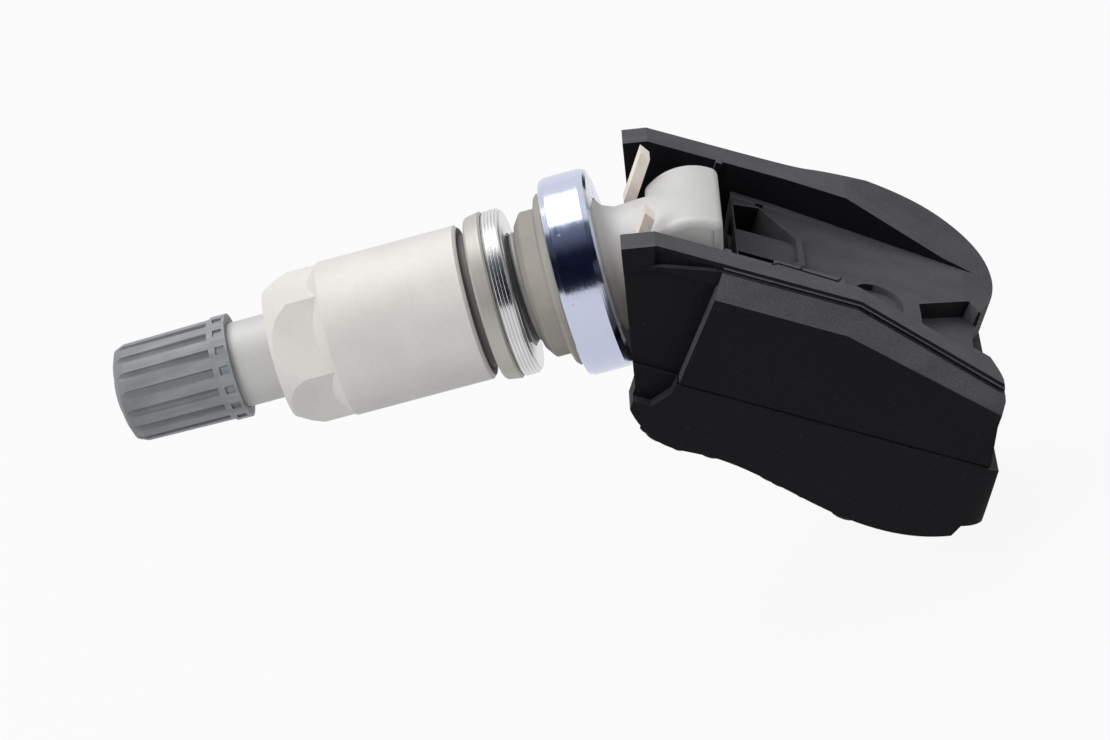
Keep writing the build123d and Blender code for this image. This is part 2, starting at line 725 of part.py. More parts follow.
def base_plan(z):
    """Plan of the base at one level, with the notch behind."""
    half = base_half
    x0 = tip_x
    x1 = base_rear_x + base_half - base_low_half
    mid = (notch_y + lobe_inner_rear) / 2
    front = Line((x0, -half, z), (x1 - base_corner, -half, z))
    turn = TangentArc(front @ 1, (x1, -half + base_corner, z), tangent=(1, 0, 0))
    edge = Line(turn @ 1, (x1, mid - base_notch_half, z))
    notch = ThreePointArc(edge @ 1, (x1 - base_notch, mid, z), (x1, mid + base_notch_half, z))
    edge2 = Line(notch @ 1, (x1, half - base_corner, z))
    turn2 = TangentArc(edge2 @ 1, (x1 - base_corner, half, z), tangent=(0, 1, 0))
    back = Line(turn2 @ 1, (x0, half, z))
    close = Line(back @ 1, (x0, -half, z))
    return make_face([front, turn, edge, notch, edge2, turn2, back, close])


def base_block():
    """Outer form of the base: side view met with a plan that draws in towards the bottom."""
    side = Pos(0, -far / 2, 0) * extrude(base_side_face(), amount=far, dir=(0, 1, 0))
    taper = math.degrees(math.atan((base_half - base_low_half) / 9.0))
    plan = extrude(base_plan(seam_z + 0.001), amount=12, dir=(0, 0, -1), taper=taper)
    panel = both_sides(side_prism(
        [(-far, seam_z + 1), (box_start, seam_z + 1), (box_start - 0.3, seam_z - 1.2), (box_start - 1.6, base_recess_z),
         (-far, base_recess_z)], wall_half + 0.4, far))
    return (side & plan) - panel


def make_housing_base():
    front = block(-far, front_wall_x, -inner_half, inner_half, -far, far)
    half = board_half + board_gap
    hollow = block(board_x0 - board_gap, board_x1 + board_gap, -half, half, -far, seam_z + 1)
    hollow = fillet(hollow.edges().filter_by(Axis.Z), 2.0)
    lip = block(-far, far, -far, far, seam_z - base_skirt, seam_z + 1) - block(
        front_x(seam_z), rear_low_x, -(box_half - 0.35), box_half - 0.35, -far, far)
    return base_block() - front - hollow - lip - fork_solid(seat_gap)


def make_potting():
    half = board_half + board_gap - contact_gap
    fill = block(board_x0 - board_gap + contact_gap, board_x1 + board_gap - contact_gap, -half, half,
                 -far, board_z - contact_gap)
    fill = fillet(fill.edges().filter_by(Axis.Z), 1.95)
    return fill & (Pos(0, 0, 0.35) * base_block())


# Retaining fork astride the neck

def fork_solid(grow):
    """Fork grown by a margin on every side. Upper legs stand in the housing's slots, the bridge
    runs square to the valve under its neck."""
    half_gap = neck_d / 2 + fork_neck_gap - grow
    half_out = neck_d / 2 + fork_neck_gap + fork_leg_w + grow
    t = fork_t / 2 + grow
    low = math.radians(rest_tilt)
    run = (neck_d / 2 + fork_neck_gap + fork_leg_w) / math.cos(low) + 0.8
    end = (fork_x + run * math.sin(low), fork_low_z - run * math.cos(low))
    line = [(fork_x, fork_tip_z), (fork_x, fork_low_z), end]
    left = [(x - t, z) for x, z in line]
    right = [(x + t, z) for x, z in reversed(line)]
    legs = side_prism(left + right, half_gap, half_out)
    bridge_start = (neck_d / 2 + fork_neck_gap - grow) / math.cos(low) - 0.6
    start = (fork_x + bridge_start * math.sin(low), fork_low_z - bridge_start * math.cos(low))
    bridge = side_prism(
        [(start[0] - t, start[1]), (end[0] - t, end[1]), (end[0] + t, end[1]), (start[0] + t, start[1])],
        -half_out, half_out)
    fork = both_sides(legs) + bridge
    neck_r = neck_d / 2 + fork_neck_gap - grow
    axis_cut = Rot(0, 90 - rest_tilt, 0) * Cylinder(neck_r, far)
    return fork - axis_cut


def make_fork():
    fork = fork_solid(0)
    tip = both_sides(side_prism(
        [(fork_x - fork_t, fork_tip_z), (fork_x + fork_t, fork_tip_z), (fork_x + fork_t, fork_tip_z - fork_tip_cut)],
        0, 2 * neck_d))
    return fork - tip


# Electronics inside the housing

def make_board():
    board = block(board_x0, board_x1, -board_half, board_half, board_z, board_z + board_t)
    return fillet(board.edges().filter_by(Axis.Z), 1.8)


board_top = board_z + board_t
cell_z = board_top + cell_lift


def make_cell():
    cell = Pos(cell_x, cell_y, cell_z) * Cylinder(cell_d / 2, cell_h, align=(Align.CENTER, Align.CENTER, Align.MIN))
    step = Pos(cell_x, cell_y, cell_z) * Cylinder(cell_d / 2, cell_step_h, align=(Align.CENTER, Align.CENTER, Align.MIN))
    step = step - Pos(cell_x, cell_y, cell_z) * Cylinder(cell_d / 2 - cell_step_w, 2)
    return chamfer((cell - step).edges().sort_by(Axis.Z)[-1], cell_edge)


def make_tab_plus():
    top = cell_z + cell_h
    out = cell_x - cell_d / 2 - tab_stand
    inner = out + tab_stand + tab_reach
    return side_prism(
        [(out, board_top), (out, top + tab_t), (inner, top + tab_t), (inner, top),
         (out + tab_t, top), (out + tab_t, board_top)], cell_y - tab_w / 2, cell_y + tab_w / 2)


def make_tab_minus():
    low = cell_z
    out = cell_x + cell_d / 2 - tab_stand
    inner = cell_x - tab_reach / 2
    return side_prism(
        [(inner, low), (out, low), (out, board_top), (out - tab_t, board_top),
         (out - tab_t, low - tab_t), (inner, low - tab_t)], cell_y - tab_w / 2, cell_y + tab_w / 2)


def make_chip():
    case = block(chip_x - chip_side / 2, chip_x + chip_side / 2, chip_y - chip_side / 2, chip_y + chip_side / 2,
                 board_top, board_top + chip_h)
    case = chamfer(case.faces().sort_by(Axis.Z)[-1].edges(), 0.2)
    return case - Pos(chip_x, chip_y, board_top + chip_h) * Cylinder(0.5, 1.2)


def make_port_seal():
    low = board_top + chip_h + contact_gap
    high = roof_z - contact_gap
    tube = Pos(chip_x, chip_y, low) * Cylinder(port_seal_d / 2, high - low, align=(Align.CENTER, Align.CENTER, Align.MIN))
    return tube - Pos(chip_x, chip_y, low) * Cylinder(port_d / 2, far)


def make_coil_core():
    half = coil_winding / 2
    rod = block(coil_x - coil_core / 2, coil_x + coil_core / 2, -coil_len / 2, coil_len / 2,
                board_top + half - coil_core / 2 + contact_gap, board_top + half + coil_core / 2 + contact_gap)
    ends = both_sides(block(coil_x - half, coil_x + half, coil_len / 2 - 0.9, coil_len / 2 + 0.3,
                            board_top + contact_gap, board_top + contact_gap + coil_winding))
    return rod + ends


def make_coil_winding():
    half = coil_winding / 2 - 0.15
    length = coil_len / 2 - 0.9 - contact_gap
    mid = board_top + coil_winding / 2 + contact_gap
    outer = block(coil_x - half, coil_x + half, -length, length, mid - half, mid + half)
    outer = fillet(outer.edges().filter_by(Axis.Y), 0.4)
    room = coil_core / 2 + 0.02
    return outer - block(coil_x - room, coil_x + room, -far, far, mid - room, mid + room)


def make_crystal():
    length, width, height = crystal_size
    case = block(chip_x - 8.5, chip_x - 8.5 + length, chip_y - width / 2, chip_y + width / 2,
                 board_top, board_top + height)
    return fillet(case.edges().filter_by(Axis.Z), 0.4)


def make_aerial():
    x1 = board_x1 - aerial_edge
    x0 = x1 - aerial_side
    y1 = board_half - aerial_edge - 1
    y0 = cell_y - tab_w / 2 - 1
    t = aerial_t
    top = board_top + aerial_h
    bar = block(x1 - t, x1, -y1, y0, top - t, top)
    side = block(x0, x1, -y1, -y1 + t, top - t, top)
    leg_a = block(x1 - t, x1, y0 - t, y0, board_top, top)
    leg_b = block(x0, x0 + t, -y1, -y1 + t, board_top, top)
    return bar + side + leg_a + leg_b


def make_small_parts():
    """Capacitors and resistors soldered to the board, as separate small blocks."""
    rows = []
    for i in range(4):
        x = board_x0 + 8.6 + smd_pitch * i
        y = board_half - smd_edge
        rows.append(block(x, x + smd_w, y - smd_w, y, board_top, board_top + smd_h))
    for i in range(3):
        x = board_x0 + coil_x - coil_core + smd_w
        y = -4.4 + smd_pitch * i
        rows.append(block(x, x + smd_w, y, y + smd_w, board_top, board_top + smd_h))
    return Compound(rows)


write("valve_stem", make_stem())
write("collar_nut", make_collar_nut())
write("nut_collar", make_nut_collar())
write("clamping_washer", make_washer())
write("grommet", make_grommet())
write("support_ring", make_support_ring())
write("dust_cap", make_dust_cap())
write("cap_seal", make_cap_seal())
write("core_body", make_core_body())
write("core_ring", make_core_ring())
write("core_pin", make_core_pin())
write("core_cup", make_core_cup())
write("core_spring", make_core_spring())
write("housing_body", tilted(make_housing_body()))
write("housing_base", tilted(make_housing_base()))
write("potting", tilted(make_potting()))
write("retaining_fork", tilted(make_fork()))
write("circuit_board", tilted(make_board()))
write("battery_cell", tilted(make_cell()))
write("battery_tab_plus", tilted(make_tab_plus()))
write("battery_tab_minus", tilted(make_tab_minus()))
write("sensor_chip", tilted(make_chip()))
write("port_seal", tilted(make_port_seal()))
write("coil_core", tilted(make_coil_core()))
write("coil_winding", tilted(make_coil_winding()))
write("crystal", tilted(make_crystal()))
write("radio_aerial", tilted(make_aerial()))
write("board_parts", tilted(make_small_parts()))
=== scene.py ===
"""Looks of a clamp-in tyre pressure sensor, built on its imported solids. Metres, in the solids' own frame:
the valve lies along X, the cap at -X, the housing at +X, and the origin is the rim's valve hole."""

import json
import math
import random

import bmesh
import bpy
from mathutils import Matrix, Vector

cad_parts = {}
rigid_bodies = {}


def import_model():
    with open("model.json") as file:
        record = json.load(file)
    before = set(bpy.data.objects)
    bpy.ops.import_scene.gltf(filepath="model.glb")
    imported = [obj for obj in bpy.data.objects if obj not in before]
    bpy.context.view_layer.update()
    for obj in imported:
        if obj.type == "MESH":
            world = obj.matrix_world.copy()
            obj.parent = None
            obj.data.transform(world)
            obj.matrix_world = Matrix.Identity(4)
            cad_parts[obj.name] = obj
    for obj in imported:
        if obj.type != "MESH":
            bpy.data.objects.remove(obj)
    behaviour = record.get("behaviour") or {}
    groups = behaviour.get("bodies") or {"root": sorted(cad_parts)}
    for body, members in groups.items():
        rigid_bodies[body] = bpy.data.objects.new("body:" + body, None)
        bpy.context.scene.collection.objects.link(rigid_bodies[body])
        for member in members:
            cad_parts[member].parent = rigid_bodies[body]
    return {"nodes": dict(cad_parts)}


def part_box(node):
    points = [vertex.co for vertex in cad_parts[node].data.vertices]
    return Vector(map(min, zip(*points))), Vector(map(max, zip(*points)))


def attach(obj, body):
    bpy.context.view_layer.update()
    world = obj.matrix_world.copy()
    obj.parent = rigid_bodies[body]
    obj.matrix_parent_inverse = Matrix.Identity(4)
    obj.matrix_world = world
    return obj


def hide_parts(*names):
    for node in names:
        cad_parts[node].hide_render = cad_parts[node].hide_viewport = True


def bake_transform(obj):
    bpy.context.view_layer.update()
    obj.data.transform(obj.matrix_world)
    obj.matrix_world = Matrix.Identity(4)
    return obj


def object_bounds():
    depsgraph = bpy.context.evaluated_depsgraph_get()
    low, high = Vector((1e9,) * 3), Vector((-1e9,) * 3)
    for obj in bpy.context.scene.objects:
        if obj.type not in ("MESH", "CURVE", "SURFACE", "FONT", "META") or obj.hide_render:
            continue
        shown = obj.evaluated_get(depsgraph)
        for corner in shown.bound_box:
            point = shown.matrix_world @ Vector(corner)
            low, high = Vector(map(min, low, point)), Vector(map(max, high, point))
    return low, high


bl_info = {
    "name": "Tyre Pressure Sensor",
    "version": (1, 0, 0),
    "blender": (4, 5, 0),
    "location": "3D View > Sidebar > Sensor",
    "description": "Finishes the pieces of a clamp-in tyre pressure sensor and sets its studio",
    "category": "Object",
}

for stray in list(bpy.data.objects):
    bpy.data.objects.remove(stray)
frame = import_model()
nodes = frame["nodes"]
cad_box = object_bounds()
MM = 0.001


def srgb(red, green, blue):
    """Screen colour from 0 to 255 as the linear colour that Blender works in."""
    return tuple(c / 3294.6 if c < 10.3 else ((c / 255 + 0.055) / 1.055) ** 2.4 for c in (red, green, blue))


# What a user would change

class SensorSizes(bpy.types.PropertyGroup):
    """Sizes of the threads, edges and studio."""

    clamp_pitch: bpy.props.FloatProperty(
        name="Clamp thread pitch", description="Rise of the stem's clamp thread in one turn",
        default=1.0 * MM, min=0.3 * MM, unit="LENGTH", precision=5)
    clamp_depth: bpy.props.FloatProperty(
        name="Clamp thread depth", description="Depth of the stem's clamp thread", default=0.36 * MM, unit="LENGTH",
        precision=5)
    mouth_pitch: bpy.props.FloatProperty(
        name="Cap thread pitch", description="Rise of the thread that the dust cap turns on",
        default=0.794 * MM, min=0.3 * MM, unit="LENGTH", precision=5)
    mouth_depth: bpy.props.FloatProperty(
        name="Cap thread depth", description="Depth of the thread that the dust cap turns on",
        default=0.36 * MM, unit="LENGTH", precision=5)
    edge_round: bpy.props.FloatProperty(
        name="Moulded edge", description="Radius of the moulded housing's edges", default=0.16 * MM, unit="LENGTH",
        precision=5)
    floor_drop: bpy.props.FloatProperty(
        name="Floor drop", description="Gap from the part's lowest point to the floor", default=6 * MM,
        unit="LENGTH", precision=5)
    key_power: bpy.props.FloatProperty(
        name="Key lamp", description="Power of the large lamp overhead", default=1.8, min=0, unit="POWER")
    room_light: bpy.props.FloatProperty(
        name="Room light", description="Strength of the light from all round", default=0.36, min=0)
    fill_power: bpy.props.FloatProperty(
        name="Fill lamp", description="Power of the lamp above the camera", default=2.3, min=0, unit="POWER")


def colour_property(name, description, colour):
    return bpy.props.FloatVectorProperty(
        name=name, description=description, default=colour, size=3, min=0, max=1, subtype="COLOR")


class SensorColours(bpy.types.PropertyGroup):
    """Base colours of the finishes."""

    valve: colour_property("Valve metal", "Stem, foot and neck", srgb(199, 198, 196))
    nut: colour_property("Nut metal", "Collar nut", srgb(217, 214, 209))
    collar: colour_property("Collar metal", "Captive collar of the nut", srgb(186, 183, 176))
    washer: colour_property("Washer steel", "Clamping washer", srgb(222, 222, 221))
    ring: colour_property("Ring plating", "Plated support ring", srgb(200, 206, 226))
    rubber: colour_property("Grommet rubber", "Rubber of the grommet", srgb(158, 154, 146))
    cap: colour_property("Cap plastic", "Plastic of the dust cap", srgb(120, 123, 125))
    seal: colour_property("Seal rubber", "Rubber of the small seals", srgb(38, 38, 40))
    brass: colour_property("Core brass", "Brass of the valve core", srgb(196, 164, 96))
    spring: colour_property("Spring steel", "Wire of the core's spring", srgb(172, 174, 178))
    housing: colour_property("Housing plastic", "Upper moulding of the housing", srgb(15, 14, 17))
    # Colour of the pale skin on upward faces: partly dust, partly painted sheen of the overhead light.
    dust: colour_property("Moulding dust", "Pale skin on the housing's upper faces", srgb(88, 86, 90))
    base: colour_property("Base plastic", "Lower moulding of the housing", srgb(15, 14, 17))
    resin: colour_property("Potting resin", "Resin cast under the board", srgb(22, 20, 22))
    fork: colour_property("Fork steel", "Retaining fork", srgb(248, 238, 226))
    board: colour_property("Board", "Lacquer of the circuit board", srgb(28, 92, 58))
    copper: colour_property("Copper", "Winding and tracks", srgb(188, 108, 66))


# Shader maths

class Wire:
    """One shader value. Sums written with it add Math nodes to its finish."""

    def __init__(self, finish, socket):
        self.finish = finish
        self.socket = socket

    def math(self, operation, *terms):
        return self.finish.add("ShaderNodeMath", {"operation": operation}, dict(enumerate(terms)))

    def __add__(self, other):
        return self.math("ADD", self, other)

    def __sub__(self, other):
        return self.math("SUBTRACT", self, other)

    def __rsub__(self, other):
        return self.math("SUBTRACT", other, self)

    def __mul__(self, other):
        return self.math("MULTIPLY", self, other)

    def __pow__(self, other):
        return self.math("POWER", self, other)

    def __rpow__(self, other):
        return self.math("POWER", other, self)

    __radd__ = __add__
    __rmul__ = __mul__


class Nodes:
    """Node tree that shader values are written into."""

    def __init__(self, owner):
        owner.use_nodes = True
        self.tree = owner.node_tree
        self.tree.nodes.clear()

    def add(self, kind, settings=None, inputs=None, output=0):
        """New node of a kind, its settings first and then its sockets. Gives the wire from the named output."""
        node = self.tree.nodes.new(kind)
        for key, value in (settings or {}).items():
            setattr(node, key, value)
        for key, value in (inputs or {}).items():
            if isinstance(value, Wire):
                self.tree.links.new(value.socket, node.inputs[key])
            else:
                node.inputs[key].default_value = value
        return Wire(self, node.outputs[output]) if node.outputs else None

    def seen(self):
        """1 for rays from the camera, off a mirror or through glass, and 0 for the light that falls on things."""
        camera, mirror, glass = (self.add("ShaderNodeLightPath", output=f"Is {kind} Ray")
                                 for kind in ("Camera", "Glossy", "Transmission"))
        return camera + mirror + glass


class Finish(Nodes):
    """Node material for one kind of surface."""

    def __init__(self, name):
        self.material = bpy.data.materials.new(name)
        super().__init__(self.material)
        self.place = self.add("ShaderNodeTexCoord", output="Object")
        self.facing = self.add("ShaderNodeTexCoord", output="Normal")
        self.x, self.y, self.z = (self.add("ShaderNodeSeparateXYZ", {}, {0: self.place}, axis) for axis in "XYZ")
        self.radius = (self.y * self.y + self.z * self.z) ** 0.5

    def noise(self, scale, detail=2.0, stretch=(1, 1, 1)):
        """Cloudy noise of about 1/scale metres, drawn out along the axes by stretch."""
        where = self.add("ShaderNodeVectorMath", {"operation": "MULTIPLY"}, {0: self.place, 1: stretch})
        return self.add("ShaderNodeTexNoise", {}, {"Vector": where, "Scale": scale, "Detail": detail})

    def lines(self, scale, detail=1.0):
        """Fine turning lines round the valve's axis, on its cylinders and on its faces."""
        lean = 1.13  # 1 would leave a cone of 45 degrees without lines
        return self.add("ShaderNodeTexNoise", {"noise_dimensions": "1D"},
                        {"W": self.x + self.radius * lean, "Scale": scale, "Detail": detail})

    def grain(self, scale):
        """Small round cells, as a spark-eroded mould leaves."""
        return self.add("ShaderNodeTexVoronoi", {}, {"Vector": self.place, "Scale": scale})

    def step(self, value, low, high, to_low=0.0, to_high=1.0):
        """Value carried from low..high to to_low..to_high, and held there outside."""
        return self.add("ShaderNodeMapRange", {"interpolation_type": "SMOOTHSTEP"},
                        {0: value, 1: low, 2: high, 3: to_low, 4: to_high})

    def towards(self, way, low, high):
        """1 where a surface faces the given way, easing to 0 between the two cosines."""
        turned = self.add("ShaderNodeVectorMath", {"operation": "DOT_PRODUCT"}, {0: self.facing, 1: way}, "Value")
        return self.step(turned, low, high)

    def mix(self, factor, first, second):
        """The first colour where the factor is 0, the second where it is 1."""
        colour_a, colour_b, result = 6, 7, 2  # the Mix node's sockets for colours
        return self.add("ShaderNodeMix", {"data_type": "RGBA"},
                        {0: factor, colour_a: solid(first), colour_b: solid(second)}, result)

    def bump(self, height, depth):
        """Normal of a relief that rises by depth, in metres, as the height goes from 0 to 1."""
        return self.add("ShaderNodeBump", {}, {"Strength": 1.0, "Distance": depth, "Height": height})

    def surface(self, colour, roughness, metallic=0.0, specular=0.5, coat=0.0, normal=None):
        """Closes the finish with its shader and gives the material."""
        sockets = {"Base Color": solid(colour), "Roughness": roughness, "Metallic": metallic,
                   "Specular IOR Level": specular, "Coat Weight": coat}
        if normal:
            sockets["Normal"] = normal
        self.add("ShaderNodeOutputMaterial", {}, {"Surface": self.add("ShaderNodeBsdfPrincipled", {}, sockets)})
        return self.material


def solid(colour):
    """Colour with its fourth channel; a wire passes unchanged."""
    return colour if isinstance(colour, Wire) else (*colour[:3], 1.0)


def shade(colour, share):
    """The colour made darker, or lighter above 1."""
    return tuple(min(1.0, c * share) for c in colour[:3])


# Finishes

def turned_metal(name, colour, roughness, line_scale, line_depth=0.01 * MM, metallic=1.0, pitch=0):
    """Lathe-turned metal: fine lines round the axis, cloudy handling marks and a few bright scuffs. With a pitch it
    is grooved that far apart along X, with painted shade at the groove bottoms."""
    f = Finish(name)
    lines = f.lines(line_scale, 2)
    cloud = f.noise(260, 4)
    fine = f.noise(2600, 2)
    scuff = f.step(f.noise(900, 3, (0.25, 1, 1)), 0.66, 0.74) * f.step(f.noise(120, 1), 0.5, 0.62)
    tone = f.mix(f.step(cloud, 0.3, 0.7), shade(colour, 0.9), shade(colour, 1.04))
    tone = f.mix(f.step(lines, 0.35, 0.65) * 0.35, tone, shade(colour, 0.82))
    tone = f.mix(scuff * 0.2, tone, shade(colour, 1.35))
    rough = roughness + (cloud - 0.5) * 0.16 + (lines - 0.5) * 0.12 - scuff * 0.1
    relief = lines * 0.7 + fine * 0.5 - scuff * 0.4
    if pitch:
        groove = f.add("ShaderNodeMath", {"operation": "SINE"}, {0: f.x * (2 * math.pi / pitch)})
        relief = relief * 0.3 + groove * 0.5
        # Painted shade at the bottoms of the grooves.
        tone = f.mix(f.step(groove, -0.2, -0.9) * 0.5, tone, shade(colour, 0.3))
    return f.surface(tone, rough, metallic=metallic, specular=0.3, normal=f.bump(relief, line_depth))


def satin_metal(name, colour, roughness, metallic, groove):
    """Bead-blasted valve metal: fine grain, soft mottling and thin marks. Its groove, dark at the bottom as painted
    shade, is given by the X where it starts and ends, and by the radii of its bottom and its crest."""
    f = Finish(name)
    grain = f.noise(4200, 3)
    cloud = f.noise(180, 4)
    lines = f.lines(5200, 2)
    mark = f.step(f.noise(700, 3, (1, 0.2, 1)), 0.69, 0.76) * f.step(f.noise(150, 1), 0.48, 0.6)
    tone = f.mix(f.step(cloud, 0.3, 0.72), shade(colour, 0.93), shade(colour, 1.02))
    tone = f.mix(f.step(grain, 0.3, 0.75) * 0.25, tone, shade(colour, 0.82))
    tone = f.mix(mark * 0.3, tone, shade(colour, 0.66))
    start, end, bottom, crest = groove
    soft = 0.1 * MM
    # Painted shade at the groove's bottom, between its start and end along X.
    painted_deep_shade = f.step(f.radius, bottom + soft / 2, crest - soft, 1, 0) * f.step(f.x, start, start + soft)
    tone = f.mix(painted_deep_shade * f.step(f.x, end - soft, end, 1, 0), tone, shade(colour, 0.2))
    rough = roughness + (cloud - 0.5) * 0.1 + (grain - 0.5) * 0.08
    return f.surface(tone, rough, metallic=metallic, specular=0.3,
                     normal=f.bump(grain * 0.7 + lines * 0.2 - mark * 0.4, 0.01 * MM))


def plated_ring(name, colour):
    """Bright plating over turned steel: hair-fine brushing round the axis, short streaks and a few dull spots."""
    f = Finish(name)
    brush = f.lines(16000, 3)
    streak = f.noise(2600, 3, (3, 0.1, 0.1))
    speck = f.step(f.noise(5200, 1, (1, 0.5, 0.5)), 0.7, 0.76)
    spot = f.step(f.noise(1100, 2), 0.7, 0.75)
    cloud = f.noise(140, 3)
    tone = f.mix(f.step(cloud, 0.35, 0.7), shade(colour, 0.94), colour)
    tone = f.mix(f.step(brush, 0.4, 0.7) * 0.18, tone, shade(colour, 0.8))
    tone = f.mix(spot * 0.3, tone, shade(colour, 0.55))
    rough = 0.1 + f.step(streak, 0.3, 0.7) * 0.08 + f.step(brush, 0.35, 0.7) * 0.05 + spot * 0.15
    return f.surface(tone, rough, metallic=1.0, normal=f.bump(brush * 0.5 + streak * 0.6 + speck * 0.8, 0.004 * MM))


def moulded(name, colour, pale, dust):
    """Glass-filled moulded plastic: spark-eroded grain, flow clouds, and a pale skin on its upper faces that is
    partly dust and partly painted sheen of the overhead light. Inside the saddle's channel, near the foot, the skin
    fades away as painted shade."""
    f = Finish(name)
    grain = f.grain(4200)
    fine = f.noise(8000, 2)
    cloud = f.noise(110, 4)
    flow = f.noise(420, 3, (0.35, 1, 1))
    fleck = f.step(f.noise(5200, 1), 0.72, 0.78)
    rub = f.step(f.noise(850, 3, (0.3, 1, 1)), 0.68, 0.76) * f.step(cloud, 0.5, 0.65)
    wall, wall_top, foot_end, channel_end = 8.3 * MM, 8.8 * MM, 13 * MM, 32 * MM
    # Painted shade: inside the saddle's channel, near the foot, the pale skin fades away.
    painted_deep_shade = f.step((f.y * f.y) ** 0.5, wall, wall_top, 1, 0) * f.step(f.x, foot_end, channel_end, 1, 0)
    # Faces turned upwards take the pale skin: partly dust, partly painted sheen of the overhead light.
    dust_and_top_sheen = f.towards((0, 0, 1), 0.05, 0.2) * (1 - painted_deep_shade * 0.8) * (0.82 + 0.18 * f.step(flow, 0.3, 0.7))
    speckle = f.step(fine, 0.36, 0.66)
    tone = f.mix(f.step(cloud, 0.3, 0.72), shade(colour, 0.75), shade(colour, 1.15))
    tone = f.mix(speckle * 0.4, tone, shade(colour, 2.4))
    tone = f.mix(dust_and_top_sheen * dust * (0.72 + 0.28 * speckle), tone, pale)
    tone = f.mix(fleck * 0.1 + rub * 0.1, tone, shade(pale, 1.9))
    rough = 0.62 + (cloud - 0.5) * 0.14 + fine * 0.06 - rub * 0.06
    return f.surface(tone, rough, specular=0.13,
                     normal=f.bump(grain * 0.8 + fine * 0.6 + flow * 0.3, 0.03 * MM))


def cast_resin(name, colour):
    """Potting resin set with an uneven skin: runs, small pits and a low gloss."""
    f = Finish(name)
    skin = f.noise(190, 5)
    pit = f.step(f.noise(1700, 2), 0.66, 0.74)
    tone = f.mix(f.step(skin, 0.3, 0.7), shade(colour, 0.75), shade(colour, 1.3))
    tone = f.mix(pit * 0.5, tone, shade(colour, 0.5))
    rough = 0.5 + (skin - 0.5) * 0.3 + pit * 0.2
    return f.surface(tone, rough, specular=0.3, normal=f.bump(skin - pit * 0.3, 0.12 * MM))


def soft_rubber(name, colour, bloom=0.5):
    """Moulded rubber: matt, finely pocked, with a pale bloom in patches."""
    f = Finish(name)
    pocks = f.noise(3600, 3)
    cloud = f.noise(210, 4)
    lines = f.lines(2600, 1)
    tone = f.mix(f.step(cloud, 0.35, 0.68) * bloom, shade(colour, 0.88), shade(colour, 1.22))
    tone = f.mix(f.step(pocks, 0.62, 0.75) * 0.5, tone, shade(colour, 0.6))
    return f.surface(tone, 0.68 + (cloud - 0.5) * 0.2, specular=0.3,
                     normal=f.bump(pocks * 0.7 + lines * 0.4, 0.03 * MM))


def cap_plastic(name, colour):
    """Nylon of the dust cap: dull, rubbed pale on its ribs, with drawn-out mould marks."""
    f = Finish(name)
    grain = f.noise(4200, 3)
    cloud = f.noise(300, 4)
    drawn = f.noise(1600, 3, (0.15, 1, 1))
    low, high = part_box("dust_cap")
    outer = (high.z - low.z) / 2
    rib = f.step(f.radius, outer - 0.42 * MM, outer - 0.12 * MM)
    tone = f.mix(f.step(cloud, 0.3, 0.7), shade(colour, 0.86), shade(colour, 1.1))
    tone = f.mix(rib * (0.25 + 0.45 * f.step(drawn, 0.4, 0.65)), tone, shade(colour, 1.55))
    tone = f.mix(f.step(grain, 0.66, 0.76) * 0.4, tone, shade(colour, 0.55))
    rough = 0.52 + (cloud - 0.5) * 0.2 - rib * 0.06
    return f.surface(tone, rough, specular=0.45,
                     normal=f.bump(grain * 0.5 + drawn * 0.6, 0.03 * MM))


def sheet_steel(name, colour):
    """Pressed sheet steel: rolling lines, a warm dull skin and small stains."""
    f = Finish(name)
    roll = f.noise(2600, 3, (1, 1, 0.12))
    stain = f.step(f.noise(700, 3), 0.58, 0.7)
    grain = f.noise(6400, 2)
    tone = f.mix(f.step(roll, 0.35, 0.68) * 0.5, colour, shade(colour, 0.84))
    tone = f.mix(stain * 0.3, tone, srgb(178, 160, 134))
    return f.surface(tone, 0.48 + (roll - 0.5) * 0.2 + stain * 0.15, metallic=0.3,
                     normal=f.bump(roll * 0.6 + grain * 0.4, 0.008 * MM))


def lacquered_board(name, colour, copper):
    """Circuit board: lacquer over tracks, with bare pads."""
    f = Finish(name)
    tracks = f.add("ShaderNodeTexBrick", {"offset": 0.5},
                   {"Vector": f.place, "Scale": 420.0, "Mortar Size": 0.06, "Color1": solid((1, 1, 1)),
                    "Color2": solid((0.8, 0.8, 0.8)), "Mortar": solid((0, 0, 0))}, "Fac")
    pads = f.step(f.grain(520), 0.22, 0.16)
    weave = f.noise(3200, 2)
    tone = f.mix(tracks, shade(colour, 1.0), shade(colour, 1.7))
    tone = f.mix(f.step(weave, 0.4, 0.7) * 0.3, tone, shade(colour, 0.7))
    tone = f.mix(pads * 0.9, tone, copper)
    return f.surface(tone, 0.34 + pads * 0.1, metallic=pads * 0.8, coat=0.4,
                     normal=f.bump(tracks * 0.6 + weave * 0.2, 0.02 * MM))


def wound_wire(name, colour):
    """Enamelled copper winding: the turns of wire side by side, with painted shade between them."""
    f = Finish(name)
    wire = 0.14 * MM
    turns = f.add("ShaderNodeMath", {"operation": "SINE"}, {0: f.y * (2 * math.pi / wire)})
    cloud = f.noise(900, 3)
    # Darker between the turns: painted shade in the crevices.
    tone = f.mix(f.step(turns, -0.6, 0.4), shade(colour, 0.45), shade(colour, 1.15))
    return f.surface(tone, 0.3 + cloud * 0.12, metallic=0.8, normal=f.bump(turns, 0.03 * MM))


def plain_case(name, colour, roughness, metallic=0.0):
    """Small component case: fine grain and a faint cloud."""
    f = Finish(name)
    grain = f.noise(5200, 2)
    cloud = f.noise(600, 3)
    tone = f.mix(f.step(cloud, 0.3, 0.7), shade(colour, 0.8), shade(colour, 1.15))
    return f.surface(tone, roughness + (grain - 0.5) * 0.2, metallic=metallic, normal=f.bump(grain, 0.01 * MM))


# Helpers for pieces

